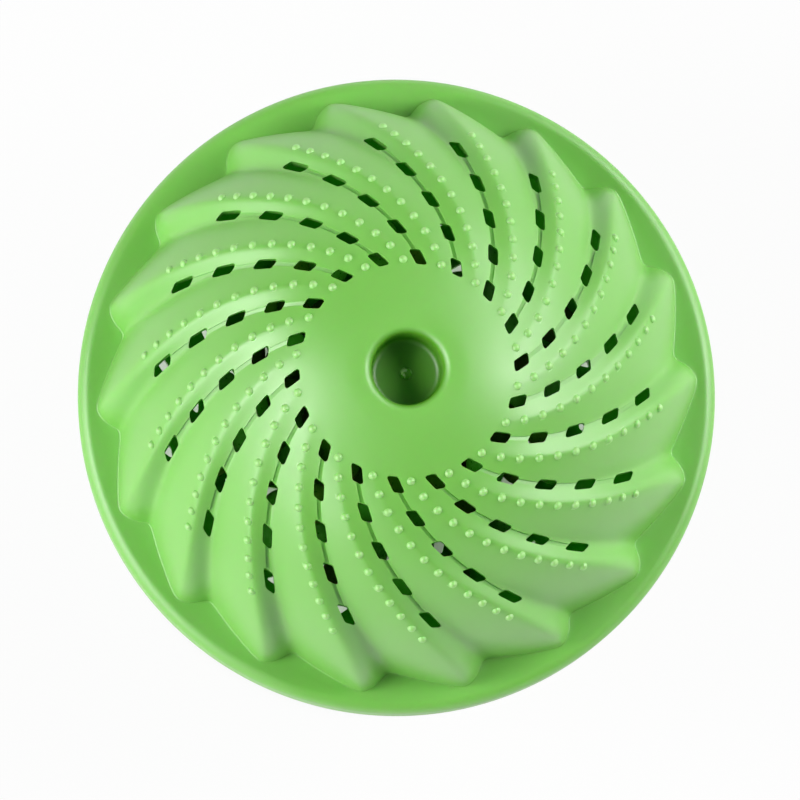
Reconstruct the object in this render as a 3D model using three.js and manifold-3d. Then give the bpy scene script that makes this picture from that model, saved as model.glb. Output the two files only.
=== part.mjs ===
// Laundry ball: two swirled and slotted plastic half shells, snapped together at a thick rim, hold a
// charge of loose ceramic beads, with a disc magnet behind the recess at each pole.
// Millimetres, +Z up. The ball stands on the flat of its lower pole, at the origin.

import * as THREE from 'three';
import { mergeGeometries, mergeVertices } from 'three/addons/utils/BufferGeometryUtils.js';
import Module from 'manifold-3d';

const wasm = await Module();
wasm.setup();

// The ball, measured from the parting plane of the two halves
const POLE_HEIGHT = 46;
const DOME_RADIUS = 46.2;
const DOME_HEIGHT = 46.8;
const WALL = 1.6;
const PARTING_GAP = 0.3;

// The rim, a thick flange on each half with a rounded outer edge
const RIM_RADIUS = 52.5;
const RIM_HALF_HEIGHT = 5.2;
const RIM_EDGE_RADIUS = 2;
const RIM_EDGE_STEPS = 2;

// The swirled ridges: height grows from nothing near the pole to its full value at the rim
const RIDGES = 18;
const RIDGE_START = 15.7;
const RIDGE_HEIGHT = 3.4;
const RIDGE_GROWTH = 1.4;
const RIDGE_SWIRL = { turn: 18, offset: -3.4 };
const CREST_LEAN = { angle: 3, fade: 8 };
const VALLEY_FLOOR = 0.5;
const COLUMNS_PER_RIDGE = 3;

// The slots, five along each valley, moulded straight through along the axis
const SLOT_ROWS = 5;
const SLOT_FIRST_RADIUS = 18.25;
const SLOT_PITCH = 5.13;
const SLOT_LENGTH = 2.5;
const SLOT_WIDTH = 2;
const SLOT_SWIRL = { turn: 16.4, offset: -5.65 };
const SLOT_DRILL = { below: 7.5, above: 6 };

// The pole recess, and the cup behind it that holds a magnet
const RECESS_RADIUS = 5.7;
const RECESS_DEPTH = 8;
const RECESS_CHAMFER = 0.9;
const CUP_WALL = 1.6;
const CUP_END = 29.5;
const MAGNET_RADIUS = 5.3;
const MAGNET_THICKNESS = 4;
const MAGNET_CHAMFER = 0.4;
const CAP_HEAD = 1;
const CAP_PLUG = 2;
const SEAT_GAP = 0.3;

// The tongue in the lower rim and the groove in the upper rim that it snaps into
const TONGUE_RADIUS = 49.1;
const TONGUE_WIDTH = 2;
const TONGUE_HEIGHT = 2.4;
const TONGUE_CLEARANCE = 0.4;

// The ceramic beads
const BEAD_RADIUS = 3.5;
const BEAD_GAP = 0.4;
const BEAD_TRIES = 6000;
const BEAD_KINDS = [
  { name: 'white', colour: 0xe6e3da },
  { name: 'grey', colour: 0x9c9b98 },
  { name: 'tan', colour: 0xb8905f },
  { name: 'brown', colour: 0x6d4430 },
];
const BEADS_PER_KIND = 11;

// The foot of the dome, where it meets the rim: in a valley, and out on the tip of a ridge
const FOOT_RADIUS = DOME_RADIUS * Math.sqrt(1 - (RIM_HALF_HEIGHT / DOME_HEIGHT) ** 2);
const FOOT_REACH = FOOT_RADIUS * (1 + crestSwell(FOOT_RADIUS, RIM_HALF_HEIGHT));

// Facets
const COLUMNS = RIDGES * COLUMNS_PER_RIDGE;
const CAVITY_COLUMNS = 36;
const CAVITY_ROWS = 8;
const ROUND_SIDES = 24;

const plastic = new THREE.MeshStandardMaterial({ color: 0x8fd66b, roughness: 0.42, metalness: 0 });
const ferrite = new THREE.MeshStandardMaterial({ color: 0x3b3d40, roughness: 0.5, metalness: 0.4 });
const capPlastic = new THREE.MeshStandardMaterial({ color: 0xdfe6d8, roughness: 0.5, metalness: 0 });

// Closed geometry to a solid: shared corners become one vertex and flat triangles go
function toSolid(geometry, insideOut = false) {
  const bare = geometry.clone();
  bare.deleteAttribute('normal');
  bare.deleteAttribute('uv');
  const merged = mergeVertices(bare, 1e-4);
  const corners = merged.index.array;
  const triangles = [];
  for (let i = 0; i < corners.length; i += 3) {
    const [a, b, c] = [corners[i], corners[i + 1], corners[i + 2]];
    if (a === b || b === c || c === a) continue;
    triangles.push(a, insideOut ? c : b, insideOut ? b : c);
  }
  const vertProperties = new Float32Array(merged.attributes.position.array);
  const triVerts = new Uint32Array(triangles);
  return new wasm.Manifold(new wasm.Mesh({ numProp: 3, vertProperties, triVerts }));
}

function toGeometry(solid) {
  const mesh = solid.getMesh();
  const geometry = new THREE.BufferGeometry();
  geometry.setAttribute('position', new THREE.BufferAttribute(mesh.vertProperties, 3));
  geometry.setIndex(new THREE.BufferAttribute(mesh.triVerts, 1));
  geometry.computeVertexNormals();
  return geometry;
}

// A revolved body about Z from a profile of [radius, height] points, listed from bottom to top
function revolve(profile, sides) {
  const points = profile.map(([radius, height]) => new THREE.Vector2(radius, height));
  return new THREE.LatheGeometry(points, sides).rotateX(Math.PI / 2);
}

// Angle of a swirl line where it crosses a radius
function swirlAngle(swirl, radius) {
  return THREE.MathUtils.degToRad(swirl.turn * Math.sqrt(radius) + swirl.offset);
}

// Height of the dome's valley line over the parting plane
function domeHeight(radius) {
  return DOME_HEIGHT * Math.sqrt(1 - (radius / DOME_RADIUS) ** 2);
}

function ridgeHeight(radius) {
  const along = (radius - RIDGE_START) / (DOME_RADIUS - RIDGE_START);
  return RIDGE_HEIGHT * Math.max(along, 0) ** RIDGE_GROWTH;
}

// How far a point swells out from the centre of the ball to lie on a crest, as a share of its distance
function crestSwell(radius, height) {
  return ridgeHeight(radius) / Math.hypot(radius, height);
}

// How far a column stands up its ridge: 1 on the crest, 0 on the flat floor of the valley
function ridgeShare(turn) {
  return Math.max(Math.cos(RIDGES * turn) + VALLEY_FLOOR, 0) / (1 + VALLEY_FLOOR);
}

// How far a crest leans ahead of the swirl of its valleys: nothing at either end of the ridge
function crestLean(radius) {
  const along = Math.max(radius - RIDGE_START, 0) / (FOOT_REACH - RIDGE_START);
  return THREE.MathUtils.degToRad(CREST_LEAN.angle) * along * (1 - along ** CREST_LEAN.fade);
}

// The outside of a half as one revolved solid, with its dome drawn out into swirled ridges
function outerForm(hasTongue) {
  const flatRadius = DOME_RADIUS * Math.sqrt(1 - (POLE_HEIGHT / DOME_HEIGHT) ** 2);
  const domeRadii = [flatRadius];
  for (let row = 0; row <= SLOT_ROWS; row += 1) {
    domeRadii.push(SLOT_FIRST_RADIUS + SLOT_PITCH * (row - 0.5));
  }
  const shoulder = (domeRadii.at(-1) + 2 * FOOT_RADIUS) / 3;
  domeRadii.push(shoulder, FOOT_RADIUS);

  const parting = PARTING_GAP / 2;
  const rows = [[0, POLE_HEIGHT]];
  domeRadii.forEach((radius) => rows.push([radius, domeHeight(radius)]));
  const footRow = rows.length - 1;
  for (let step = 0; step <= RIM_EDGE_STEPS; step += 1) {
    const bend = (step * Math.PI) / 2 / RIM_EDGE_STEPS;
    const edgeRadius = RIM_RADIUS - RIM_EDGE_RADIUS * (1 - Math.sin(bend));
    const edgeHeight = RIM_HALF_HEIGHT - RIM_EDGE_RADIUS * (1 - Math.cos(bend));
    rows.push([edgeRadius, edgeHeight]);
  }
  rows.push([RIM_RADIUS - parting, parting]);
  const side = TONGUE_WIDTH / 2 + (hasTongue ? 0 : TONGUE_CLEARANCE);
  const depth = TONGUE_HEIGHT + (hasTongue ? 0 : TONGUE_CLEARANCE);
  const end = hasTongue ? -depth : depth;
  rows.push([TONGUE_RADIUS + side, parting], [TONGUE_RADIUS + side, end]);
  rows.push([TONGUE_RADIUS - side, end], [TONGUE_RADIUS - side, parting]);
  rows.push([0, parting]);

  const profile = rows.map(([radius, height]) => new THREE.Vector2(radius, height));
  const geometry = new THREE.LatheGeometry(profile, COLUMNS);
  const position = geometry.attributes.position;
  for (let column = 0; column <= COLUMNS; column += 1) {
    const turn = ((column % COLUMNS) * 2 * Math.PI) / COLUMNS;
    rows.forEach(([radius, height], row) => {
      const onDome = row <= footRow;
      const share = onDome ? ridgeShare(turn) : 0;
      const swell = 1 + crestSwell(radius, height) * share;
      const reach = radius * swell;
      const swirlRadius = onDome ? Math.max(reach, RIDGE_START) : FOOT_REACH;
      const angle = turn + swirlAngle(RIDGE_SWIRL, swirlRadius) + crestLean(reach) * share;
      const top = row === footRow ? RIM_HALF_HEIGHT : height * swell;
      const index = column * rows.length + row;
      position.setXYZ(index, reach * Math.cos(angle), reach * Math.sin(angle), top);
    });
  }
  return toSolid(geometry, true);
}

// The hollow of a half, which leaves the wall and the cup for the magnet
function cavityForm() {
  const cupRadius = RECESS_RADIUS + CUP_WALL;
  const webUnderside = POLE_HEIGHT - RECESS_DEPTH - WALL;
  const insideRadius = DOME_RADIUS - WALL;
  const insideHeight = DOME_HEIGHT - WALL;
  const ceiling = POLE_HEIGHT - WALL;
  const profile = [[0, -WALL], [insideRadius, -WALL]];
  const highest = Math.asin(ceiling / insideHeight);
  for (let row = 0; row < CAVITY_ROWS; row += 1) {
    const slope = (highest * row) / (CAVITY_ROWS - 1);
    profile.push([insideRadius * Math.cos(slope), insideHeight * Math.sin(slope)]);
  }
  profile.push([cupRadius, ceiling], [cupRadius, CUP_END]);
  profile.push([RECESS_RADIUS, CUP_END], [RECESS_RADIUS, webUnderside], [0, webUnderside]);
  return toSolid(revolve(profile, CAVITY_COLUMNS));
}

function recessForm() {
  const floor = POLE_HEIGHT - RECESS_DEPTH;
  const past = 2 * RECESS_CHAMFER;
  return toSolid(revolve([
    [0, floor],
    [RECESS_RADIUS, floor],
    [RECESS_RADIUS, POLE_HEIGHT - RECESS_CHAMFER],
    [RECESS_RADIUS + past, POLE_HEIGHT - RECESS_CHAMFER + past],
    [0, POLE_HEIGHT - RECESS_CHAMFER + past],
  ], ROUND_SIDES));
}

// All slots of a half as one set of prisms: parallelograms that lean along the swirl
function slotForms() {
  const prisms = [];
  for (let row = 0; row < SLOT_ROWS; row += 1) {
    const radius = SLOT_FIRST_RADIUS + SLOT_PITCH * row;
    const slant = THREE.MathUtils.degToRad(SLOT_SWIRL.turn) * Math.sqrt(radius) / 2;
    const end = SLOT_LENGTH / 2;
    const side = SLOT_WIDTH / 2;
    const outline = new THREE.Shape([
      new THREE.Vector2(radius - end, -end * slant - side),
      new THREE.Vector2(radius + end, end * slant - side),
      new THREE.Vector2(radius + end, end * slant + side),
      new THREE.Vector2(radius - end, -end * slant + side),
    ]);
    const depth = SLOT_DRILL.below + SLOT_DRILL.above;
    for (let ridge = 0; ridge < RIDGES; ridge += 1) {
      const prism = new THREE.ExtrudeGeometry(outline, { depth, bevelEnabled: false });
      prism.rotateZ(swirlAngle(SLOT_SWIRL, radius) + (ridge * 2 * Math.PI) / RIDGES);
      prism.translate(0, 0, domeHeight(radius) - SLOT_DRILL.below);
      prisms.push(prism);
    }
  }
  return toSolid(mergeGeometries(prisms));
}

function halfShell(hasTongue) {
  return toGeometry(outerForm(hasTongue)
    .subtract(cavityForm())
    .subtract(recessForm())
    .subtract(slotForms()));
}

// A disc magnet with broken edges, seated under the floor of the recess
function magnet() {
  const top = POLE_HEIGHT - RECESS_DEPTH - WALL - SEAT_GAP;
  const bottom = top - MAGNET_THICKNESS;
  const inner = MAGNET_RADIUS - MAGNET_CHAMFER;
  return revolve([
    [0, bottom],
    [inner, bottom],
    [MAGNET_RADIUS, bottom + MAGNET_CHAMFER],
    [MAGNET_RADIUS, top - MAGNET_CHAMFER],
    [inner, top],
    [0, top],
  ], ROUND_SIDES);
}

// The plug that closes a magnet cup, with a head as wide as the cup
function magnetCap() {
  const shoulder = CUP_END - SEAT_GAP;
  const bottom = shoulder - CAP_HEAD;
  const head = RECESS_RADIUS + CUP_WALL;
  const plug = RECESS_RADIUS - SEAT_GAP;
  return revolve([
    [0, bottom],
    [head - MAGNET_CHAMFER, bottom],
    [head, bottom + MAGNET_CHAMFER],
    [head, shoulder],
    [plug, shoulder],
    [plug, shoulder + CAP_PLUG],
    [0, shoulder + CAP_PLUG],
  ], ROUND_SIDES);
}

// Repeatable numbers from 0 to 1
function numberStream(seed) {
  let state = seed;
  return () => {
    state = (state * 16807) % 2147483647;
    return state / 2147483647;
  };
}

// Each bead in turn takes the lowest free place found in the bowl of the lower half
function settleBeads(count) {
  const next = numberStream(20261);
  const reach = DOME_RADIUS - WALL - BEAD_RADIUS - 2 * BEAD_GAP;
  const clearOfCup = RECESS_RADIUS + CUP_WALL + BEAD_RADIUS + BEAD_GAP;
  const apart = 2 * BEAD_RADIUS + BEAD_GAP;
  const places = [];
  while (places.length < count) {
    let lowest = null;
    for (let attempt = 0; attempt < BEAD_TRIES; attempt += 1) {
      const radius = THREE.MathUtils.lerp(clearOfCup, reach, next());
      const angle = 2 * Math.PI * next();
      const floor = -Math.sqrt(reach ** 2 - radius ** 2);
      const height = floor + 2 * apart * next() * next();
      if (lowest && height >= lowest.z) continue;
      const place = new THREE.Vector3(radius * Math.cos(angle), radius * Math.sin(angle), height);
      if (places.some((other) => other.distanceTo(place) < apart)) continue;
      lowest = place;
    }
    if (lowest) places.push(lowest);
  }
  return places;
}

function addPiece(group, name, geometry, material) {
  const mesh = new THREE.Mesh(geometry, material);
  mesh.name = name;
  group.add(mesh);
  return mesh;
}

const ball = new THREE.Group();

const upperHalf = new THREE.Group();
upperHalf.position.z = POLE_HEIGHT;
addPiece(upperHalf, 'upper_shell', halfShell(false), plastic);
addPiece(upperHalf, 'upper_magnet', magnet(), ferrite);
addPiece(upperHalf, 'upper_magnet_cap', magnetCap(), capPlastic);
ball.add(upperHalf);

// The lower half is turned over and then round, so that its ridges meet the upper ones at the rim
const rimAngle = swirlAngle(RIDGE_SWIRL, FOOT_REACH);
const lowerHalf = new THREE.Group();
lowerHalf.position.z = POLE_HEIGHT;
lowerHalf.rotation.set(Math.PI, 0, 2 * rimAngle, 'ZYX');
addPiece(lowerHalf, 'lower_shell', halfShell(true), plastic);
addPiece(lowerHalf, 'lower_magnet', magnet(), ferrite);
addPiece(lowerHalf, 'lower_magnet_cap', magnetCap(), capPlastic);
ball.add(lowerHalf);

const beads = new THREE.Group();
beads.position.z = POLE_HEIGHT;
settleBeads(BEAD_KINDS.length * BEADS_PER_KIND).forEach((place, index) => {
  const kind = BEAD_KINDS[index % BEAD_KINDS.length];
  const number = Math.floor(index / BEAD_KINDS.length) + 1;
  const ceramic = new THREE.MeshStandardMaterial({ color: kind.colour, roughness: 0.6, metalness: 0 });
  const name = `bead_${kind.name}_${String(number).padStart(2, '0')}`;
  const bead = addPiece(beads, name, new THREE.SphereGeometry(BEAD_RADIUS, 8, 4), ceramic);
  bead.position.copy(place);
});
ball.add(beads);

export default ball;
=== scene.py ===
"""A laundry ball: two swirled and slotted half shells, their pole magnets and a charge of ceramic beads."""

import math

import bmesh
import bpy
import numpy as np
from mathutils import Matrix, Vector, kdtree, noise


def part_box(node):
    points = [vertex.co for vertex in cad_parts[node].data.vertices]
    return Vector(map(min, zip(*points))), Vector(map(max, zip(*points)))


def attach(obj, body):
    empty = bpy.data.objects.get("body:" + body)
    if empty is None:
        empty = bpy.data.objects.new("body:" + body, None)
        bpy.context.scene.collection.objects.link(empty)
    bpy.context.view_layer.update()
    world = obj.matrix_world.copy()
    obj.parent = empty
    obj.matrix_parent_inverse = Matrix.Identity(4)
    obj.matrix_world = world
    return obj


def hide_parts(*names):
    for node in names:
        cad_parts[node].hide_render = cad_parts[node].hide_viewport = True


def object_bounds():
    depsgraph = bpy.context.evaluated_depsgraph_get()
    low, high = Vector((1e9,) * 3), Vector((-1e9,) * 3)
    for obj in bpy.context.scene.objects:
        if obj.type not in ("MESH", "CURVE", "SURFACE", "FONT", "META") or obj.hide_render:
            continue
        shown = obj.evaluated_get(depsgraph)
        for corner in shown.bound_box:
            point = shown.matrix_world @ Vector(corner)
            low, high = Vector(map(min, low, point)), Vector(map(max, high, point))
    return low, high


bl_info = {
    "name": "Laundry Ball",
    "version": (1, 0, 0),
    "blender": (4, 5, 0),
    "location": "View3D > Sidebar > Laundry Ball",
    "description": "Dresses the frame of a swirled laundry ball with moulded shells, magnets and beads",
    "category": "Add Mesh",
}

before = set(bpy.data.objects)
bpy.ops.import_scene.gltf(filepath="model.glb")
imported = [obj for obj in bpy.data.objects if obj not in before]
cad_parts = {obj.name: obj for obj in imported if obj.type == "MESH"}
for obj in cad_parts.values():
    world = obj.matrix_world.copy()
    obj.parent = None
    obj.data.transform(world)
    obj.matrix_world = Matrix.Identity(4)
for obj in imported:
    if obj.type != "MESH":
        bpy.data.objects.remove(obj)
CAD_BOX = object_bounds()
MM = 0.001
# Name of the face attribute that marks where light is painted on the studs
PAINTED_STUD_LIGHT = "rubbed"
BEAD_KINDS = ("white", "grey", "tan", "brown")


def length(name, description, millimetres):
    """A size property whose default is written in millimetres."""
    return bpy.props.FloatProperty(
        name=name, description=description, default=millimetres * MM, unit="LENGTH", precision=5
    )


def angle(name, description, degrees):
    """An angle property whose default is written in degrees."""
    return bpy.props.FloatProperty(
        name=name, description=description, default=math.radians(degrees), subtype="ANGLE"
    )


def linear(hex_colour):
    """Linear red, green and blue of an sRGB colour written as six hex digits."""
    parts = [int(hex_colour[i : i + 2], 16) / 255 for i in (0, 2, 4)]
    return [p / 12.92 if p <= 0.04045 else ((p + 0.055) / 1.055) ** 2.4 for p in parts]


def colour(name, description, hex_colour):
    """A colour property whose default is written as sRGB hex."""
    return bpy.props.FloatVectorProperty(
        name=name, description=description, default=linear(hex_colour), subtype="COLOR", min=0, max=1
    )


class ShellSizes(bpy.types.PropertyGroup):
    """Sizes of a half shell, measured from the parting plane at the rim."""

    pole_height: length("Pole height", "Parting plane to the flat at a pole", CAD_BOX[1].z / 2 / MM)
    dome_radius: length("Dome radius", "Radius of the valley line at the parting plane", 46.2)
    dome_height: length("Dome height", "Height of the valley line carried on to the axis", 46.8)
    wall: length("Wall", "Thickness of the shell in a valley", 1.6)
    parting_gap: length("Parting gap", "Joint line between the two halves", 0.3)
    rim_radius: length("Rim radius", "Radius of the outer edge of the rim", 52.5)
    rim_half_height: length("Rim half height", "Height of the rim on each half", 5.2)
    rim_edge: length("Rim edge", "Rounding of the outer edge of the rim", 2)
    rim_fillet: length("Rim fillet", "Rounding in the corner between dome and rim", 0.3)
    ridges: bpy.props.IntProperty(name="Ridges", description="Swirled ridges on a half", default=18)
    ridge_start: length("Ridge start", "Radius at which the ridges rise out of the smooth pole", 15.7)
    ridge_height: length("Ridge height", "Height of a ridge over its valleys at the rim", 3.4)
    ridge_growth: bpy.props.FloatProperty(
        name="Ridge growth", description="Power by which a ridge rises from pole to rim", default=1.4
    )
    ridge_crispness: bpy.props.FloatProperty(
        name="Ridge crispness", description="0 is a soft wave and 1 a sharp fold", default=0.93, max=0.999
    )
    ridge_turn: angle("Ridge turn", "Turn of a crest, times the root of its radius in millimetres", 18)
    ridge_offset: angle("Ridge offset", "Where that turn starts", -3.4)
    crest_lean: angle("Crest lean", "How far a crest leans ahead of the swirl of its valleys", 3)
    crest_fade: bpy.props.IntProperty(
        name="Crest fade", description="Power by which that lean fades out at the rim", default=8
    )
    slot_rows: bpy.props.IntProperty(name="Slot rows", description="Slots in a valley", default=5)
    slot_first: length("First slot", "Radius of the slot nearest the pole", 18.25)
    slot_pitch: length("Slot pitch", "Radius from one slot of a row to the next", 5.13)
    slot_length: length("Slot length", "Size of a slot along the radius", 2.5)
    slot_width: length("Slot width", "Size of a slot along the circumference", 2)
    slot_tip: length("Slot tip", "How far the sharp corners of a slot are rounded", 0.9)
    slot_corner: length("Slot corner", "How far the blunt corners of a slot are rounded", 0.35)
    slot_turn: angle("Slot turn", "Turn of a slot row, times the root of its radius in millimetres", 16.4)
    slot_offset: angle("Slot offset", "Where that turn starts", -5.65)
    channel_width: length("Channel width", "Width of the shallow channel that links the slots", 0.65)
    channel_depth: length("Channel depth", "Depth of that channel in the valley", 0.28)
    studs: bpy.props.IntProperty(name="Studs", description="Studs along a crest", default=12)
    stud_first: angle("First stud", "Angle off the pole of the first stud", 22.5)
    stud_step: angle("Stud step", "Angle from one stud to the next", 3.335)
    stud_aside: angle("Stud aside", "How far the studs sit behind the crest line", 0.5)
    stud_radius: length("Stud radius", "Radius of the round of a stud", 0.74)
    stud_sink: length("Stud sink", "Depth of the centre of that round under the crest", 0.22)
    recess_radius: length("Recess radius", "Radius of the round recess at a pole", 5.7)
    recess_depth: length("Recess depth", "Depth of that recess", 8)
    recess_lip: length("Recess lip", "Rounding of its mouth", 1.4)
    recess_fillet: length("Recess fillet", "Rounding in the corner of its floor", 1.1)
    nub_radius: length("Nub radius", "Radius of the moulding nub on the floor of the recess", 0.95)
    nub_height: length("Nub height", "Height of that nub", 0.7)
    cup_wall: length("Cup wall", "Wall of the magnet cup behind the recess", 1.6)
    cup_end: length("Cup end", "Height of the open end of the cup over the parting plane", 29.5)
    tongue_radius: length("Tongue radius", "Middle of the snap tongue in the rim", 49.1)
    tongue_width: length("Tongue width", "Width of that tongue", 2)
    tongue_height: length("Tongue height", "How far the tongue stands out of the lower half", 2.4)
    tongue_clearance: length("Tongue clearance", "Room round the tongue in its groove", 0.4)


class InsideSizes(bpy.types.PropertyGroup):
    """Sizes of the magnets, their caps and the beads."""

    magnet_radius: length("Magnet radius", "Radius of the disc magnet", 5.3)
    magnet_thickness: length("Magnet thickness", "Thickness of the disc magnet", 4)
    magnet_edge: length("Magnet edge", "Break of its edges", 0.4)
    seat_gap: length("Seat gap", "Room at each seat", 0.3)
    cap_head: length("Cap head", "Thickness of the head of a cap", 1)
    cap_plug: length("Cap plug", "Length of the plug of a cap", 2)
    bead_gap: length("Bead gap", "Least room between two beads", 0.4)
    bead_level: length("Bead level", "Height over the floor that the added beads stay under", 30)
    bead_travel: length("Bead travel", "How far the charge shifts into the upper half", 40)
    added_beads: bpy.props.IntProperty(
        name="Added beads", description="Beads laid on the ones of the frame", default=40
    )


class BallColours(bpy.types.PropertyGroup):
    """Colours of the plastics, the magnet and the beads."""

    shell: colour("Shell", "Green of the moulded shells", "7DC94F")
    shell_pale: colour("Shell, pale", "The same green where the plastic flowed thin", "88D25D")
    # Painted shade: a darker green for the recess, standing in for the shade that falls in it
    shell_deep: colour("Shell, deep", "The same green over the dark magnet in the recess", "5EA81C")
    gate: colour("Gate mark", "Torn plastic where the mould was fed", "F0FFE4")
    # Painted light: the studs are coloured paler for the light that their tops catch
    stud: colour("Stud", "Studs, rubbed paler than the shell", "A3DE80")
    cap: colour("Cap", "Milky natural plastic", "DFE6D8")
    ferrite: colour("Ferrite", "Charcoal of the pressed magnet", "3B3D40")
    bead_white: colour("White bead", "Body of the white beads", "E6E3DA")
    bead_grey: colour("Grey bead", "Body of the grey beads", "9C9B98")
    bead_tan: colour("Tan bead", "Body of the tan beads", "B8905F")
    bead_brown: colour("Brown bead", "Body of the brown beads", "6D4430")
    floor: colour("Floor", "Pale studio floor", "DCDCDC")


# Materials

# Distances off the axis of the ball over which the gate mark, the painted shade in the recess and the white
# of the floor fade into what lies next
GATE_FADE = (0.7 * MM, 1.1 * MM)
RECESS_SHADE_FADE = (5.8 * MM, 6.6 * MM)
SHADOW_FADE = (38 * MM, 52 * MM)


def add_node(tree, kind, settings=None, **inputs):
    """A node with its settings, and each input set to a value or linked to (node, output)."""
    node = tree.nodes.new(kind)
    for key, value in (settings or {}).items():
        setattr(node, key, value)
    for key, value in inputs.items():
        socket = node.inputs[int(key[1:])] if key[1:].isdigit() else node.inputs[key.replace("_", " ")]
        if isinstance(value, tuple) and isinstance(value[0], bpy.types.Node):
            tree.links.new(value[0].outputs[value[1]], socket)
        else:
            socket.default_value = value
    return node


def new_material(name):
    """An empty node material, with its tree and its output node."""
    material = bpy.data.materials.new(name)
    material.use_nodes = True
    material.node_tree.nodes.clear()
    return material, material.node_tree, material.node_tree.nodes.new("ShaderNodeOutputMaterial")


def across(millimetres):
    """Scale of a texture whose pattern repeats about every so many millimetres."""
    return 1 / (millimetres * MM)


def opaque(rgb, factor=1):
    """A colour as a node's socket takes it, made darker or paler by a factor."""
    return (*(min(factor * c, 1) for c in rgb), 1.0)


def moulded_polypropylene(colours):
    """Green polypropylene, injection moulded in a lightly spark-eroded tool.

    The tool leaves a satin skin that spreads highlights wide, and the plastic lets a little light in, so
    that its shadows stay soft and green. Where it flowed thin the green is a touch paler. The recess is
    painted a deeper green for the shade that falls in it, and the studs are painted paler for the light
    that their tops catch. The gate mark on the axis is torn into pale specks. The eroded grain is about
    0.1 mm, which is too fine to show, so it is drawn at 0.3 mm.
    """
    material, tree, output = new_material("Moulded green polypropylene")
    place = add_node(tree, "ShaderNodeTexCoord")
    flow = add_node(tree, "ShaderNodeTexNoise", Vector=(place, "Object"), Scale=across(24), Detail=2.0)
    tint = add_node(
        tree,
        "ShaderNodeMix",
        {"data_type": "RGBA"},
        Factor=(flow, "Fac"),
        _6=opaque(colours.shell),
        _7=opaque(colours.shell_pale),
    )
    plan = add_node(
        tree, "ShaderNodeVectorMath", {"operation": "MULTIPLY"}, _0=(place, "Object"), _1=(1, 1, 0)
    )
    off_axis = add_node(tree, "ShaderNodeVectorMath", {"operation": "LENGTH"}, _0=(plan, 0))
    torn = add_node(
        tree,
        "ShaderNodeMapRange",
        Value=(off_axis, "Value"),
        From_Min=GATE_FADE[0],
        From_Max=GATE_FADE[1],
        To_Min=1.0,
        To_Max=0.0,
    )
    shreds = add_node(tree, "ShaderNodeTexNoise", Vector=(place, "Object"), Scale=across(0.8), Detail=1.0)
    specks = add_node(
        tree,
        "ShaderNodeMapRange",
        Value=(shreds, "Fac"),
        From_Min=0.44,
        From_Max=0.58,
        To_Min=0.0,
        To_Max=(torn, "Result"),
    )
    # Painted shade: the recess and its lip are coloured a deeper green for the shade that falls in them
    recess_shade_mask = add_node(
        tree,
        "ShaderNodeMapRange",
        Value=(off_axis, "Value"),
        From_Min=RECESS_SHADE_FADE[0],
        From_Max=RECESS_SHADE_FADE[1],
        To_Min=1.0,
        To_Max=0.0,
    )
    recess_shaded = add_node(
        tree,
        "ShaderNodeMix",
        {"data_type": "RGBA"},
        Factor=(recess_shade_mask, "Result"),
        _6=(tint, 2),
        _7=opaque(colours.shell_deep),
    )
    marked = add_node(
        tree,
        "ShaderNodeMix",
        {"data_type": "RGBA"},
        Factor=(specks, "Result"),
        _6=(recess_shaded, 2),
        _7=opaque(colours.gate),
    )
    # Painted light: the studs are coloured paler for the light that their tops catch
    stud_light_mask = add_node(tree, "ShaderNodeAttribute", {"attribute_name": PAINTED_STUD_LIGHT})
    rubbed = add_node(
        tree,
        "ShaderNodeMix",
        {"data_type": "RGBA"},
        Factor=(stud_light_mask, "Fac"),
        _6=(marked, 2),
        _7=opaque(colours.stud),
    )
    grain = add_node(tree, "ShaderNodeTexNoise", Vector=(place, "Object"), Scale=across(0.3), Detail=1.0)
    satin = add_node(
        tree,
        "ShaderNodeMapRange",
        Value=(flow, "Fac"),
        From_Min=0.3,
        From_Max=0.7,
        To_Min=0.38,
        To_Max=0.46,
    )
    bump = add_node(tree, "ShaderNodeBump", Height=(grain, "Fac"), Strength=0.08, Distance=0.05 * MM)
    shader = add_node(
        tree,
        "ShaderNodeBsdfPrincipled",
        {"subsurface_method": "RANDOM_WALK"},
        Base_Color=(rubbed, 2),
        Roughness=(satin, "Result"),
        Normal=(bump, "Normal"),
        IOR=1.56,
        Specular_IOR_Level=1.0,
        Subsurface_Weight=0.6,
        Subsurface_Radius=(0.5, 1.0, 0.3),
        Subsurface_Scale=1.5 * MM,
    )
    tree.links.new(shader.outputs[0], output.inputs[0])
    return material


def natural_polypropylene(colours):
    """Unpigmented polypropylene, moulded in a polished tool: milky, smooth and slightly see-through."""
    material, tree, output = new_material("Natural polypropylene")
    place = add_node(tree, "ShaderNodeTexCoord")
    cloud = add_node(tree, "ShaderNodeTexNoise", Vector=(place, "Object"), Scale=across(4), Detail=2.0)
    shine = add_node(tree, "ShaderNodeMapRange", Value=(cloud, "Fac"), To_Min=0.3, To_Max=0.42)
    milk = add_node(
        tree,
        "ShaderNodeMix",
        {"data_type": "RGBA"},
        Factor=(cloud, "Fac"),
        _6=opaque(colours.cap),
        _7=opaque(colours.cap, 0.9),
    )
    shader = add_node(
        tree,
        "ShaderNodeBsdfPrincipled",
        Base_Color=(milk, 2),
        Roughness=(shine, "Result"),
        IOR=1.49,
        Subsurface_Weight=0.3,
        Subsurface_Scale=1.0 * MM,
    )
    tree.links.new(shader.outputs[0], output.inputs[0])
    return material


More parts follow.
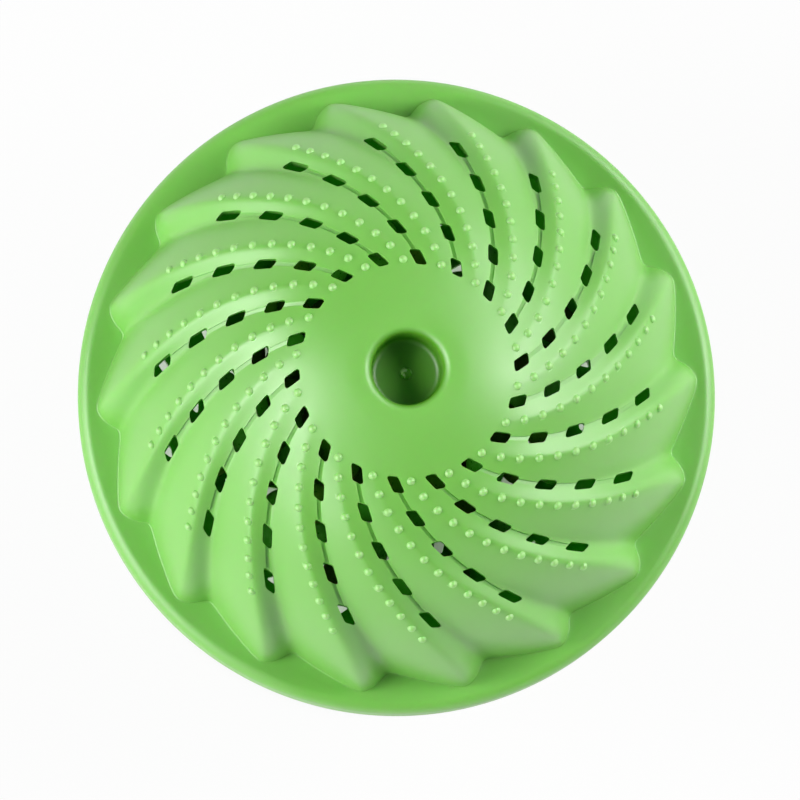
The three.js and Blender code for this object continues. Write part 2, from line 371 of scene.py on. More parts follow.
def sintered_ferrite(colours):
    """Hard ferrite, pressed, fired and ground: dark, dull and finely grained, with pale ground specks."""
    material, tree, output = new_material("Sintered ferrite")
    place = add_node(tree, "ShaderNodeTexCoord")
    grain = add_node(tree, "ShaderNodeTexNoise", Vector=(place, "Object"), Scale=across(0.4), Detail=4.0)
    speck = add_node(
        tree,
        "ShaderNodeMix",
        {"data_type": "RGBA"},
        Factor=(grain, "Fac"),
        _6=opaque(colours.ferrite, 0.6),
        _7=opaque(colours.ferrite, 1.5),
    )
    bump = add_node(tree, "ShaderNodeBump", Height=(grain, "Fac"), Strength=0.3, Distance=0.05 * MM)
    shader = add_node(
        tree,
        "ShaderNodeBsdfPrincipled",
        Base_Color=(speck, 2),
        Normal=(bump, "Normal"),
        Metallic=0.2,
        Roughness=0.55,
    )
    tree.links.new(shader.outputs[0], output.inputs[0])
    return material


def bisque_ceramic(kind, body):
    """Bisque-fired clay, rolled into balls: matt and open, with grit and dark mineral specks."""
    material, tree, output = new_material(f"Bisque ceramic {kind}")
    place = add_node(tree, "ShaderNodeTexCoord")
    cloud = add_node(tree, "ShaderNodeTexNoise", Vector=(place, "Object"), Scale=across(2.5), Detail=3.0)
    clay = add_node(
        tree,
        "ShaderNodeMix",
        {"data_type": "RGBA"},
        Factor=(cloud, "Fac"),
        _6=opaque(body, 0.82),
        _7=opaque(body, 1.12),
    )
    grit = add_node(tree, "ShaderNodeTexVoronoi", Vector=(place, "Object"), Scale=across(0.9))
    fleck = add_node(
        tree,
        "ShaderNodeMapRange",
        Value=(grit, "Distance"),
        From_Min=0.16,
        From_Max=0.24,
        To_Min=0.55,
        To_Max=0.0,
    )
    flecked = add_node(
        tree,
        "ShaderNodeMix",
        {"data_type": "RGBA"},
        Factor=(fleck, "Result"),
        _6=(clay, 2),
        _7=opaque(body, 0.3),
    )
    pores = add_node(tree, "ShaderNodeTexNoise", Vector=(place, "Object"), Scale=across(0.35), Detail=3.0)
    bump = add_node(tree, "ShaderNodeBump", Height=(pores, "Fac"), Strength=0.35, Distance=0.08 * MM)
    shader = add_node(
        tree,
        "ShaderNodeBsdfPrincipled",
        Base_Color=(flecked, 2),
        Normal=(bump, "Normal"),
        Roughness=0.75,
        IOR=1.55,
    )
    tree.links.new(shader.outputs[0], output.inputs[0])
    return material


def studio_floor(colours):
    """Matt white paper sweep, seen as paper white but for the shadow under the ball and a trace round it."""
    material, tree, output = new_material("White paper sweep")
    place = add_node(tree, "ShaderNodeTexCoord")
    fibre = add_node(tree, "ShaderNodeTexNoise", Vector=(place, "Object"), Scale=across(3), Detail=3.0)
    paper = add_node(
        tree,
        "ShaderNodeMix",
        {"data_type": "RGBA"},
        Factor=(fibre, "Fac"),
        _6=opaque(colours.floor),
        _7=opaque(colours.floor, 0.97),
    )
    matt = add_node(tree, "ShaderNodeBsdfDiffuse", Color=(paper, 2))
    path = add_node(tree, "ShaderNodeLightPath")
    direct = add_node(
        tree,
        "ShaderNodeMath",
        {"operation": "MAXIMUM"},
        _0=(path, "Is Glossy Ray"),
        _1=(path, "Is Camera Ray"),
    )
    seen = add_node(
        tree, "ShaderNodeMath", {"operation": "MAXIMUM"}, _0=(direct, 0), _1=(path, "Is Transmission Ray")
    )
    plan = add_node(
        tree, "ShaderNodeVectorMath", {"operation": "MULTIPLY"}, _0=(place, "Object"), _1=(1, 1, 0)
    )
    off_axis = add_node(tree, "ShaderNodeVectorMath", {"operation": "LENGTH"}, _0=(plan, 0))
    white = add_node(tree, "ShaderNodeEmission", Color=(1, 1, 1, 1), Strength=1.0)
    clear_of_ball = add_node(
        tree,
        "ShaderNodeMapRange",
        {"interpolation_type": "SMOOTHSTEP"},
        Value=(off_axis, "Value"),
        From_Min=SHADOW_FADE[0],
        From_Max=SHADOW_FADE[1],
        To_Min=0.0,
        To_Max=0.95,
    )
    share = add_node(
        tree, "ShaderNodeMath", {"operation": "MULTIPLY"}, _0=(seen, 0), _1=(clear_of_ball, "Result")
    )
    mix = add_node(tree, "ShaderNodeMixShader", Fac=(share, 0), _1=(matt, 0), _2=(white, 0))
    tree.links.new(mix.outputs[0], output.inputs[0])
    return material


# Meshes


def add_object(name, data):
    """A new object in the scene for a mesh, a lamp or a camera."""
    thing = bpy.data.objects.new(name, data)
    bpy.context.scene.collection.objects.link(thing)
    return thing


def mesh_object(name, points, faces):
    """A new mesh object in the scene, from its points and faces."""
    mesh = bpy.data.meshes.new(name)
    mesh.from_pydata(points, [], faces)
    return add_object(name, mesh)


def arc(centre, radius, start, end, steps):
    """Points on a round from one angle to another, in degrees, both ends included."""
    turns = np.radians(np.linspace(start, end, steps + 1))
    return [(centre[0] + radius * math.cos(t), centre[1] + radius * math.sin(t)) for t in turns]


def revolve(profile, turns):
    """Points and faces of a body between two points on the axis, through rings of radius, height and angle.

    A ring's radius and height are numbers or one value for each turn. The turns are the angles of the
    points of a ring that has none of its own.
    """
    count = len(turns)
    rings = []
    for ring in profile[1:-1]:
        radius, height = ring[0] + np.zeros(count), ring[1] + np.zeros(count)
        bearing = ring[2] if len(ring) > 2 else turns
        rings.append(np.stack([radius * np.cos(bearing), radius * np.sin(bearing), height], 1))
    first, last = profile[0][1], profile[-1][1]
    points = np.concatenate([[[0, 0, first]], *rings, [[0, 0, last]]])
    here = np.arange(count)
    after = (here + 1) % count
    faces = [(0, 1 + i, 1 + j) for i, j in zip(here, after)]
    for row in range(len(rings) - 1):
        a, b = 1 + row * count, 1 + (row + 1) * count
        faces.extend(np.stack([a + here, b + here, b + after, a + after], 1).tolist())
    end, rim = len(points) - 1, 1 + (len(rings) - 1) * count
    faces.extend((rim + i, end, rim + j) for i, j in zip(here, after))
    return points.tolist(), [tuple(map(int, face)) for face in faces]


def combine(target, tool, operation):
    """Joins tool to target or cuts it out, and removes it."""
    modifier = target.modifiers.new(operation, "BOOLEAN")
    modifier.operation = operation
    modifier.solver = "MANIFOLD"
    modifier.object = tool
    before = target.data
    graph = bpy.context.evaluated_depsgraph_get()
    after = bpy.data.meshes.new_from_object(target.evaluated_get(graph))
    if len(after.polygons) < len(before.polygons) / 2:
        raise RuntimeError(f"{operation} with {tool.name} lost the shell")
    target.modifiers.clear()
    target.data = after
    bpy.data.meshes.remove(before)
    bpy.data.meshes.remove(tool.data)


def smooth(thing, crease_degrees):
    """Round shading, with a crisp line along each fold sharper than the crease."""
    mesh = thing.data
    mesh.polygons.foreach_set("use_smooth", [True] * len(mesh.polygons))
    mesh.set_sharp_from_angle(angle=math.radians(crease_degrees))


def dress(thing, material, body, slot, *nodes):
    """Gives a piece its finish and its body, and hides the nodes of the frame that it stands for."""
    thing.data.materials.clear()
    thing.data.materials.append(material)
    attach(thing, body)
    if nodes:
        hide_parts(*nodes)


# The swirled half shell, in its own frame: the parting plane at zero and the pole up

COLUMNS_PER_RIDGE = 24
COLUMN_CROWDING = 0.35
DOME_ROWS = 90
CAVITY_ROWS = 24
POLE_ROWS = 6
NUB_SHARES = (0.35, 0.65, 0.85, 0.96)
SEARCH_ROUNDS = 12


def swirl(turn, offset, radius):
    """Bearing of a spiral that turns with the root of its radius in millimetres."""
    return turn * np.sqrt(radius / MM) + offset


def dome_height(size, radius):
    """Height of the plain dome, without its ridges, at a radius."""
    return size.dome_height * np.sqrt(1 - (radius / size.dome_radius) ** 2)


def dome_radius_at(size, height):
    """Radius of the plain dome at a height."""
    return size.dome_radius * math.sqrt(1 - (height / size.dome_height) ** 2)


def ridge_swell(size, radius, phase):
    """How far the ridges draw a point of the dome out from the centre of the ball, as a factor."""
    run = np.maximum((radius - size.ridge_start) / (size.dome_radius - size.ridge_start), 0)
    rise = size.ridge_height * run**size.ridge_growth
    crisp = size.ridge_crispness
    wave = 0.5 + np.arcsin(crisp * np.cos(phase)) / (2 * math.asin(crisp))
    return 1 + rise * wave / np.hypot(radius, dome_height(size, radius))


def crest_angle(size, radius):
    """Bearing of a crest at a radius, and of its start for a smaller one."""
    return swirl(size.ridge_turn, size.ridge_offset, np.maximum(radius, size.ridge_start))


def tip_radius(size):
    """Radius at which a crest meets the rim."""
    foot = dome_radius_at(size, size.rim_half_height)
    return foot * float(ridge_swell(size, foot, 0))


def lean_ahead(size, reach, phase):
    """How far a point leans ahead of the swirl: most on a crest, and none in a valley or at either end."""
    run = np.clip((reach - size.ridge_start) / (tip_radius(size) - size.ridge_start), 0, 1)
    return size.crest_lean * run * (1 - run**size.crest_fade) * (1 + np.cos(phase)) / 2


def dome_point(size, radius, phase):
    """Plan radius, height and angle of the point of the ridged dome over a radius of the plain one."""
    swell = ridge_swell(size, radius, phase)
    reach = radius * swell
    bearing = phase / size.ridges + crest_angle(size, reach) + lean_ahead(size, reach, phase)
    return reach, dome_height(size, radius) * swell, bearing


def dome_over(size, reach, bearing):
    """Height of the ridged dome over a point in plan."""
    plain = bearing - crest_angle(size, reach)
    radius, phase = reach, size.ridges * plain
    for _ in range(SEARCH_ROUNDS):
        phase = size.ridges * (plain - lean_ahead(size, reach, phase))
        radius = reach / ridge_swell(size, radius, phase)
    return dome_height(size, radius) * ridge_swell(size, radius, phase)


def rim_angle(size):
    """Angle at which a crest meets the rim."""
    return float(crest_angle(size, tip_radius(size)))


def column_phases(size):
    """Phase of each column of points: 0 on a crest, with columns drawn in to crests and valleys."""
    even = 2 * math.pi * np.arange(size.ridges * COLUMNS_PER_RIDGE) / COLUMNS_PER_RIDGE
    return even - COLUMN_CROWDING / 2 * np.sin(2 * even)


def recess_rings(size):
    """Rings from the moulding nub over the floor and wall of the recess to its round lip."""
    floor = size.pole_height - size.recess_depth
    lip = size.recess_lip
    fillet = size.recess_fillet
    rings = [(0, floor + size.nub_height)]
    for share in NUB_SHARES:
        rings.append((share * size.nub_radius, floor + size.nub_height * math.sqrt(1 - share**2)))
    rings.append((size.nub_radius, floor))
    rings.append((size.recess_radius / 2, floor))
    rings += arc((size.recess_radius - fillet, floor + fillet), fillet, -90, 0, steps=4)
    rings += arc((size.recess_radius + lip, size.pole_height - lip), lip, 180, 90, steps=6)
    return rings


def pole_rings(size):
    """Rings that turn the flat of the pole into the dome, and the radius where the dome goes on alone."""
    flat = dome_radius_at(size, size.pole_height)
    start = size.recess_radius + size.recess_lip
    end = 2 * flat - start
    radii = (start, flat, end)
    heights = (size.pole_height, size.pole_height, float(dome_height(size, end)))
    rings = []
    for t in np.linspace(0, 1, POLE_ROWS + 2)[1:-1]:
        weights = (1 - t) ** 2, 2 * t * (1 - t), t**2
        rings.append((float(np.dot(weights, radii)), float(np.dot(weights, heights))))
    return rings, end


def rim_rings(size, reach, bearing):
    """Rings from the foot of the dome through the fillet, over the flat of the rim and round its edge."""
    fillet, edge, top = size.rim_fillet, size.rim_edge, size.rim_half_height
    foot = arc((0, top + fillet), fillet, 180, 270, steps=5)
    rings = [(reach + fillet + r, z, bearing) for r, z in foot]
    flat = size.rim_radius - edge
    rings.append(((reach + fillet + flat) / 2, top, bearing))
    return rings + [(r, z, bearing) for r, z in arc((flat, top - edge), edge, 90, 0, steps=8)]


def inside_rings(size, has_tongue, bearing):
    """Rings from the edge of the rim over the snap joint, up the hollow and down the magnet cup."""
    parting = size.parting_gap / 2
    room = 0 if has_tongue else size.tongue_clearance
    half = size.tongue_width / 2 + room
    end = -size.tongue_height if has_tongue else size.tongue_height + room
    inside, height = size.dome_radius - size.wall, size.dome_height - size.wall
    ceiling = size.pole_height - size.wall
    cup = size.recess_radius + size.cup_wall
    web = size.pole_height - size.recess_depth - size.wall
    rings = [
        (size.rim_radius, 2 * parting),
        (size.rim_radius - parting, parting),
        (size.tongue_radius + half, parting),
        (size.tongue_radius + half, end),
        (size.tongue_radius - half, end),
        (size.tongue_radius - half, parting),
    ]
    for slope in np.linspace(math.asin(parting / height), math.asin(ceiling / height), CAVITY_ROWS):
        rings.append((inside * math.cos(slope), height * math.sin(slope)))
    rings += [
        (cup, ceiling),
        (cup, size.cup_end),
        (size.recess_radius, size.cup_end),
        (size.recess_radius, web),
        (0, web),
    ]
    return [(*ring, bearing) for ring in rings]


def half_shell(size, name, has_tongue):
    """The moulded shell before its slots are cut, as one closed surface."""
    phase = column_phases(size)
    pole_turns = phase / size.ridges + crest_angle(size, size.ridge_start)
    profile = recess_rings(size)
    rings, start = pole_rings(size)
    profile += rings
    foot = dome_radius_at(size, size.rim_half_height + size.rim_fillet)
    lean = np.linspace(math.asin(start / size.dome_radius), math.asin(foot / size.dome_radius), DOME_ROWS)
    for radius in size.dome_radius * np.sin(lean):
        profile.append(dome_point(size, radius, phase))
    reach, _, bearing = profile.pop()
    profile += rim_rings(size, reach, bearing)
    profile += inside_rings(size, has_tongue, bearing)
    return mesh_object(name, *revolve(profile, pole_turns))


def rounded(corners, cuts, steps=5):
    """An outline whose corners are turned into short curves, each of which starts at its cut."""
    points = []
    for before, corner, after, cut in zip(np.roll(corners, 1, 0), corners, np.roll(corners, -1, 0), cuts):
        start = corner + cut * (before - corner) / np.linalg.norm(before - corner)
        end = corner + cut * (after - corner) / np.linalg.norm(after - corner)
        for t in np.linspace(0, 1, steps + 1):
            points.append((1 - t) ** 2 * start + 2 * t * (1 - t) * corner + t**2 * end)
    return np.array(points)


def prisms(name, outlines, bottoms, tops):
    """Upright prisms over outlines in plan, as one mesh of separate bodies."""
    points, faces = [], []
    for outline, bottom, top in zip(outlines, bottoms, tops):
        count, first = len(outline), len(points)
        points += [(x, y, bottom) for x, y in outline] + [(x, y, top) for x, y in outline]
        faces.append(tuple(first + i for i in reversed(range(count))))
        faces.append(tuple(first + count + i for i in range(count)))
        for i in range(count):
            j = (i + 1) % count
            faces.append((first + i, first + j, first + count + j, first + count + i))
    return mesh_object(name, points, faces)


def turned(points, bearing):
    """Plan points turned about the axis."""
    c, s = math.cos(bearing), math.sin(bearing)
    return points @ np.array([[c, s], [-s, c]])


def slot_lean(size, radius):
    """Slope of a slot row against the radius."""
    return size.slot_turn * np.sqrt(radius / MM) / 2


def slot_bearing(size, radius, ridge):
    """Bearing of the slot row beside a ridge, at a radius."""
    return swirl(size.slot_turn, size.slot_offset, radius) + 2 * math.pi * ridge / size.ridges


def slot_cutters(size):
    """The slots of a half: leaning outlines with round corners, drawn straight through along the axis."""
    outlines, bottoms, tops = [], [], []
    below, above = 7.5 * MM, 6 * MM
    for row in range(size.slot_rows):
        radius = size.slot_first + row * size.slot_pitch
        end, side = size.slot_length / 2, size.slot_width / 2
        corners = np.array([(-end, -side), (end, -side), (end, side), (-end, side)])
        corners[:, 1] += slot_lean(size, radius) * corners[:, 0]
        corners[:, 0] += radius
        outline = rounded(corners, (size.slot_tip, size.slot_corner) * 2)
        for ridge in range(size.ridges):
            outlines.append(turned(outline, slot_bearing(size, radius, ridge)))
            bottoms.append(dome_height(size, radius) - below)
            tops.append(dome_height(size, radius) + above)
    return prisms("slot_cutters", outlines, bottoms, tops)


def channel_cutters(size):
    """The shallow channels that run from the first slot of each row to the last."""
    steps, above = 60, 4 * MM
    last = size.slot_first + (size.slot_rows - 1) * size.slot_pitch
    radius = np.linspace(size.slot_first, last, steps)
    lean = np.arctan(slot_lean(size, radius))
    points, faces = [], []
    for ridge in range(size.ridges):
        bearing = slot_bearing(size, radius, ridge)
        middle = np.stack([radius * np.cos(bearing), radius * np.sin(bearing)], 1)
        aside = np.stack([-np.sin(bearing + lean), np.cos(bearing + lean)], 1) * size.channel_width / 2
        surface = dome_over(size, radius, bearing)
        depth = size.channel_depth / np.sqrt(1 - (radius / size.dome_radius) ** 2)
        first = len(points)
        for m, a, z, d in zip(middle, aside, surface, depth):
            points += [(*(m - a), z - d), (*(m + a), z - d), (*(m + a), z + above), (*(m - a), z + above)]
        faces.append(tuple(first + 3 - i for i in range(4)))
        for step in range(steps - 1):
            here, there = first + 4 * step, first + 4 * (step + 1)
            for i in range(4):
                j = (i + 1) % 4
                faces.append((here + i, here + j, there + j, there + i))
        faces.append(tuple(first + 4 * (steps - 1) + i for i in range(4)))
    return mesh_object("channel_cutters", points, faces)


def stud_places(size):
    """Centre and outward direction of each stud along the crests."""
    behind = size.ridges * size.stud_aside
    for number in range(size.studs):
        plain = size.dome_radius * math.sin(size.stud_first + number * size.stud_step)
        for ridge in range(size.ridges):
            reach, height, bearing = dome_point(size, plain, 2 * math.pi * ridge - behind)
            middle = Vector((reach * math.cos(bearing), reach * math.sin(bearing), height))
            outward = middle.normalized()
            yield middle - size.stud_sink * outward, outward


def stud_rounds(size):
    """The studs along the crests, as balls sunk in the surface."""
    ball = bmesh.new()
    bmesh.ops.create_uvsphere(ball, u_segments=14, v_segments=8, radius=size.stud_radius)
    pattern = np.array([v.co for v in ball.verts])
    loops = [tuple(v.index for v in face.verts) for face in ball.faces]
    ball.free()
    points, faces = [], []
    for middle, outward in stud_places(size):
        turn = np.array(outward.to_track_quat("Z", "Y").to_matrix())
        first = len(points)
        points += (pattern @ turn.T + np.array(middle)).tolist()
        faces += [tuple(first + i for i in loop) for loop in loops]
    return mesh_object("stud_rounds", points, faces)


def mark_studs(size, mesh):
    """Marks the faces of the studs, which are painted paler than the shell for the light their tops catch.
    """
    places = list(stud_places(size))
    tree = kdtree.KDTree(len(places))
    for index, (middle, _) in enumerate(places):
        tree.insert(middle, index)
    tree.balance()
    marks = [float(tree.find(face.center)[2] < size.stud_radius) for face in mesh.polygons]
    mesh.attributes.new(PAINTED_STUD_LIGHT, "FLOAT", "FACE").data.foreach_set("value", marks)


def place_of_half(size, is_lower):
    """Where a half sits in the row frame. The lower one is turned over, and the ridges of both meet."""
    place = Matrix.Translation((0, 0, size.pole_height))
    if not is_lower:
        return place
    return place @ Matrix.Rotation(2 * rim_angle(size), 4, "Z") @ Matrix.Rotation(math.pi, 4, "X")


class LAUNDRYBALL_OT_shells(bpy.types.Operator):
    """Build the two swirled half shells with their slots, channels and studs"""

    bl_idname = "laundry_ball.shells"
    bl_label = "Half Shells"

    def execute(self, context):
        size = context.scene.laundry_ball_shell
        plastic = moulded_polypropylene(context.scene.laundry_ball_colours)
        for half in ("upper", "lower"):
            is_lower = half == "lower"
            shell = half_shell(size, f"{half}_swirled_shell", is_lower)
            combine(shell, channel_cutters(size), "DIFFERENCE")
            combine(shell, slot_cutters(size), "DIFFERENCE")
            combine(shell, stud_rounds(size), "UNION")
            mark_studs(size, shell.data)
            shell.data.transform(place_of_half(size, is_lower))
            smooth(shell, crease_degrees=34)
            dress(shell, plastic, f"{half}_half", "shell_plastic", f"{half}_shell")
        return {"FINISHED"}


# What the shells hold

TURNED_COLUMNS = 96
BEAD_SEED = 7
TRIES_PER_BEAD = 6000
DENT_SPAN = 0.8
DENT_DEPTH = 0.02


def turned_piece(name, profile, place):
    """A round piece with finely broken edges, from its profile, at a place."""
    turns = np.linspace(0, 2 * math.pi, TURNED_COLUMNS, endpoint=False)
    piece = mesh_object(name, *revolve(profile, turns))
    piece.data.transform(place)
    smooth(piece, crease_degrees=40)
    return piece


def magnet_profile(size, inside):
    """Profile of the disc magnet behind the floor of the recess."""
    edge, radius = inside.magnet_edge, inside.magnet_radius
    top = size.pole_height - size.recess_depth - size.wall - inside.seat_gap
    bottom = top - inside.magnet_thickness
    profile = [(0, top), *arc((radius - edge, top - edge), edge, 90, 0, steps=4)]
    return profile + [*arc((radius - edge, bottom + edge), edge, 0, -90, steps=4), (0, bottom)]


def cap_profile(size, inside):
    """Profile of a cap, from the end of its plug to the dished face of its head."""
    edge = inside.magnet_edge
    shoulder = size.cup_end - inside.seat_gap
    end, under = shoulder + inside.cap_plug, shoulder - inside.cap_head
    plug, head = size.recess_radius - inside.seat_gap, size.recess_radius + size.cup_wall
    dish = head / 2
    profile = [(0, end), *arc((plug - edge, end - edge), edge, 90, 0, steps=4)]
    profile += [(plug, shoulder), (head, shoulder)]
    profile += arc((head - edge, under + edge), edge, 0, -90, steps=4)
    return profile + [(dish, under), (dish - edge, under + edge), (0, under + edge)]


class LAUNDRYBALL_OT_magnets(bpy.types.Operator):
    """Build the disc magnets and the caps that close their cups"""

    bl_idname = "laundry_ball.magnets"
    bl_label = "Magnets and Caps"

    def execute(self, context):
        size = context.scene.laundry_ball_shell
        inside = context.scene.laundry_ball_inside
        ferrite = sintered_ferrite(context.scene.laundry_ball_colours)
        milky = natural_polypropylene(context.scene.laundry_ball_colours)
        for half in ("upper", "lower"):
            place = place_of_half(size, half == "lower")
            magnet = turned_piece(f"{half}_disc_magnet", magnet_profile(size, inside), place)
            dress(magnet, ferrite, f"{half}_half", "magnet_ferrite", f"{half}_magnet")
            cover = turned_piece(f"{half}_cup_cap", cap_profile(size, inside), place)
            dress(cover, milky, f"{half}_half", "cap_plastic", f"{half}_magnet_cap")
        return {"FINISHED"}


def bead_mesh(name, radius, seed):
    """A hand-rolled ball: nearly round, with low dents."""
    ball = bmesh.new()
    bmesh.ops.create_icosphere(ball, subdivisions=3, radius=radius)
    for vert in ball.verts:
        dent = noise.noise(vert.co / (DENT_SPAN * radius) + Vector((seed, seed, seed)))
        vert.co *= 1 + DENT_DEPTH * (dent - 0.5)
    mesh = bpy.data.meshes.new(name)
    ball.to_mesh(mesh)
    ball.free()
    mesh.polygons.foreach_set("use_smooth", [True] * len(mesh.polygons))
    return mesh


def bead_nodes(kind):
    """Nodes of the frame that are beads of a kind."""
    return sorted(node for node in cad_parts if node.startswith(f"bead_{kind}"))


def middle_of(node):
    """Centre of a node of the frame."""
    low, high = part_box(node)
    return (low + high) / 2


def lay_beads(size, inside, radius, taken, draws):
    """Free places for more beads, each the lowest found over the ones that lie there.

    A place also stays clear of the upper half when the charge shifts up into it.
    """
    reach = size.dome_radius - size.wall - radius - 2 * inside.bead_gap
    cup = size.recess_radius + size.cup_wall + radius + inside.bead_gap
    cup_top = size.pole_height - size.cup_end + inside.cap_head + 2 * inside.seat_gap + radius
    apart = 2 * radius + inside.bead_gap
    places = []
    for _ in range(inside.added_beads):
        plan = reach * np.sqrt(draws.random(TRIES_PER_BEAD))
        bearing = 2 * math.pi * draws.random(TRIES_PER_BEAD)
        floor = size.pole_height - np.sqrt(reach**2 - plan**2)
        ceiling = 2 * size.pole_height - inside.bead_travel - floor
        height = floor + draws.random(TRIES_PER_BEAD) * np.maximum(inside.bead_level - floor, 0)
        tries = np.stack([plan * np.cos(bearing), plan * np.sin(bearing), height], 1)
        tries = tries[(height < ceiling) & ((plan > cup) | (height > cup_top))]
        tries = tries[np.argsort(tries[:, 2])]
        others = np.array(taken + places)
        for place in tries:
            if (np.square(others - place).sum(1) >= apart**2).all():
                places.append(place.tolist())
                break
    return places


def loose_beads(name, ball, places, draws):
    """Copies of a bead at their places, each turned its own way, as one mesh."""
    loose = bmesh.new()
    for place in places:
        before = len(loose.verts)
        loose.from_mesh(ball)
        loose.verts.ensure_lookup_table()
        turn = Matrix.Rotation(draws.random() * 2 * math.pi, 4, Vector(draws.random(3)))
        move = Matrix.Translation(place) @ turn
        bmesh.ops.transform(loose, matrix=move, verts=loose.verts[before:])
    mesh = bpy.data.meshes.new(name)
    loose.to_mesh(mesh)
    loose.free()
    return mesh


class LAUNDRYBALL_OT_beads(bpy.types.Operator):
    """Build the charge of ceramic beads"""

    bl_idname = "laundry_ball.beads"
    bl_label = "Ceramic Beads"

    def execute(self, context):
        size = context.scene.laundry_ball_shell
        inside = context.scene.laundry_ball_inside
        colours = context.scene.laundry_ball_colours
        low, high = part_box("bead_white_01")
        radius = (high - low).z / 2
        draws = np.random.default_rng(BEAD_SEED)
        taken = [list(middle_of(node)) for kind in BEAD_KINDS for node in bead_nodes(kind)]
        added = lay_beads(size, inside, radius, taken, draws)
        for index, kind in enumerate(BEAD_KINDS):
            ceramic = bisque_ceramic(kind, getattr(colours, f"bead_{kind}"))
            ball = bead_mesh(f"rolled_{kind}_bead", radius, index)
            ball.materials.append(ceramic)
            for node in bead_nodes(kind):
                bead = add_object(f"rolled_{node}", ball)
                bead.location = middle_of(node)
                bead.rotation_euler = draws.random(3) * 2 * math.pi
                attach(bead, "bead_charge")
                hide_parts(node)
            places = added[index :: len(BEAD_KINDS)]
            mesh = loose_beads(f"more_{kind}_beads", ball, places, draws)
            more = add_object(mesh.name, mesh)
            dress(more, ceramic, "bead_charge", f"bead_{kind}")
        return {"FINISHED"}


# The stage

PHOTO_SIDE = 800
PHOTO_RIM_CENTRE = (396.2, 397.35)
PHOTO_RIM_RADIUS = 317.9
CAMERA_DISTANCE = 1.075
CAMERA_TILT = math.radians(6.17)
CAMERA_LEAN = math.radians(68)
SENSOR = 36
PANEL_REACH = 0.74
PANEL_HEIGHT = 0.45
PANEL_SIZE = (0.95, 0.6)
PANEL_WATTS = 5.75
KEY_REACH = 0.556
KEY_HEIGHT = 0.621
KEY_SIZE = (0.22, 0.15)
# Each side with the bearings of its panel and its key lamp in degrees, and the watts of the key lamp
LAMP_SIDES = (("right", 26, 8, 1.3), ("left", 202, 186, 1.8))
GLOW_LAMPS = 6
GLOW_RING = 25 * MM
GLOW_BULB = 5 * MM
GLOW_COLOUR = (0.12, 1.0, 0.03)
GLOW_WATTS = 0.0038
HORIZON_LIGHT = 0.6
CEILING_LIGHT = 0.04


def add_camera(size):
    """A long lens over the upper pole, tilted a little, that puts the rim where the photograph has it."""
    aside = math.sin(CAMERA_TILT)
    back = Vector((-aside * math.cos(CAMERA_LEAN), -aside * math.sin(CAMERA_LEAN), math.cos(CAMERA_TILT)))
    up = (Vector((0, 1, 0)) - back.y * back).normalized()
    right = up.cross(back)
    pixel = size.rim_radius / PHOTO_RIM_RADIUS
    middle = PHOTO_SIDE / 2
    spot = Vector((0, 0, size.pole_height)) + CAMERA_DISTANCE * back
    spot += pixel * (middle - PHOTO_RIM_CENTRE[0]) * right + pixel * (PHOTO_RIM_CENTRE[1] - middle) * up
    data = bpy.data.cameras.new("photo_camera")
    data.sensor_width = SENSOR
    data.lens = SENSOR * CAMERA_DISTANCE * PHOTO_RIM_RADIUS / PHOTO_SIDE / size.rim_radius
    data.clip_start = 0.05
    camera = add_object("photo_camera", data)
    camera.matrix_world = Matrix.LocRotScale(spot, Matrix((right, up, back)).transposed(), None)
    bpy.context.scene.camera = camera


def around(degrees, reach, height):
    """A point at a bearing round the axis of the ball, with its reach from the axis and its height."""
    bearing = math.radians(degrees)
    return Vector((reach * math.cos(bearing), reach * math.sin(bearing), height))


def add_softbox(name, spot, aim, span, watts):
    """A soft studio lamp that faces a point."""
    data = bpy.data.lights.new(name, "AREA")
    data.shape = "RECTANGLE"
    data.size, data.size_y = span
    data.energy = watts
    facing = (spot - aim).to_track_quat("Z", "Y").to_matrix()
    add_object(name, data).matrix_world = Matrix.LocRotScale(spot, facing, None)


def add_inner_glow(height):
    """A ring of dim green lamps in the hollow, for the light that the plastic lets through."""
    for index in range(GLOW_LAMPS):
        data = bpy.data.lights.new(f"inner_glow_{index}", "POINT")
        data.color = GLOW_COLOUR
        data.shadow_soft_size = GLOW_BULB
        data.energy = GLOW_WATTS / GLOW_LAMPS
        lamp = add_object(data.name, data)
        lamp.location = around(360 * index / GLOW_LAMPS, GLOW_RING, height)
        lamp.visible_camera = False
        lamp.visible_glossy = False


def light_world():
    """Fill light from pale studio walls that darken upwards from the horizon to a dim ceiling."""
    world = bpy.data.worlds.new("Studio")
    bpy.context.scene.world = world
    world.use_nodes = True
    tree = world.node_tree
    tree.nodes.clear()
    place = add_node(tree, "ShaderNodeTexCoord")
    parts = add_node(tree, "ShaderNodeSeparateXYZ", Vector=(place, "Generated"))
    power = add_node(
        tree,
        "ShaderNodeMapRange",
        Value=(parts, "Z"),
        From_Min=0.0,
        From_Max=0.5,
        To_Min=HORIZON_LIGHT,
        To_Max=CEILING_LIGHT,
    )
    sky = add_node(tree, "ShaderNodeBackground", Color=(1, 1, 1, 1), Strength=(power, "Result"))
    output = tree.nodes.new("ShaderNodeOutputWorld")
    tree.links.new(sky.outputs[0], output.inputs[0])


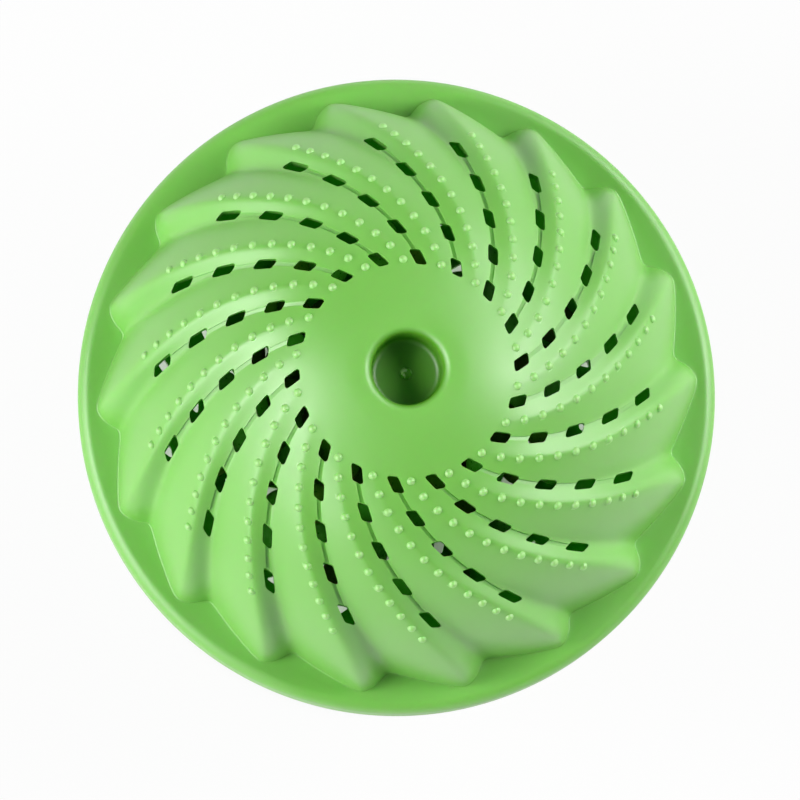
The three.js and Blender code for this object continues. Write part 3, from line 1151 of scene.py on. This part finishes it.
class LAUNDRYBALL_OT_stage(bpy.types.Operator):
    """Set the camera, a pale floor, a soft panel and a key lamp on each side, and a glow in the hollow"""

    bl_idname = "laundry_ball.stage"
    bl_label = "Stage"

    def execute(self, context):
        size = context.scene.laundry_ball_shell
        context.scene.view_settings.view_transform = "Standard"
        add_camera(size)
        span = 6.0
        corners = [(-span, -span, 0), (span, -span, 0), (span, span, 0), (-span, span, 0)]
        floor = mesh_object("paper_sweep", corners, [(0, 1, 2, 3)])
        floor.data.materials.append(studio_floor(context.scene.laundry_ball_colours))
        aim = Vector((0, 0, size.pole_height))
        for side, panel, key, watts in LAMP_SIDES:
            panel_spot = around(panel, PANEL_REACH, PANEL_HEIGHT)
            key_spot = around(key, KEY_REACH, KEY_HEIGHT)
            add_softbox(f"{side}_panel", panel_spot, aim, PANEL_SIZE, PANEL_WATTS)
            add_softbox(f"{side}_key", key_spot, aim, KEY_SIZE, watts)
        add_inner_glow(size.pole_height)
        light_world()
        return {"FINISHED"}


class LAUNDRYBALL_PT_sidebar(bpy.types.Panel):
    """Lists the pieces of the laundry ball"""

    bl_idname = "LAUNDRYBALL_PT_sidebar"
    bl_label = "Laundry Ball"
    bl_space_type = "VIEW_3D"
    bl_region_type = "UI"
    bl_category = "Laundry Ball"

    def draw(self, context):
        for operator in OPERATORS:
            self.layout.operator(operator.bl_idname)
        for group in (context.scene.laundry_ball_shell, context.scene.laundry_ball_inside):
            for name in group.__annotations__:
                self.layout.prop(group, name)
        for name in context.scene.laundry_ball_colours.__annotations__:
            self.layout.prop(context.scene.laundry_ball_colours, name)


OPERATORS = (LAUNDRYBALL_OT_stage, LAUNDRYBALL_OT_shells, LAUNDRYBALL_OT_magnets, LAUNDRYBALL_OT_beads)
CLASSES = (ShellSizes, InsideSizes, BallColours, *OPERATORS, LAUNDRYBALL_PT_sidebar)


def register():
    for cls in CLASSES:
        bpy.utils.register_class(cls)
    bpy.types.Scene.laundry_ball_shell = bpy.props.PointerProperty(type=ShellSizes)
    bpy.types.Scene.laundry_ball_inside = bpy.props.PointerProperty(type=InsideSizes)
    bpy.types.Scene.laundry_ball_colours = bpy.props.PointerProperty(type=BallColours)


def unregister():
    del bpy.types.Scene.laundry_ball_colours
    del bpy.types.Scene.laundry_ball_inside
    del bpy.types.Scene.laundry_ball_shell
    for cls in reversed(CLASSES):
        bpy.utils.unregister_class(cls)


def main():
    register()
    bpy.ops.laundry_ball.stage()
    bpy.ops.laundry_ball.shells()
    bpy.ops.laundry_ball.magnets()
    bpy.ops.laundry_ball.beads()


if __name__ == "__main__":
    main()
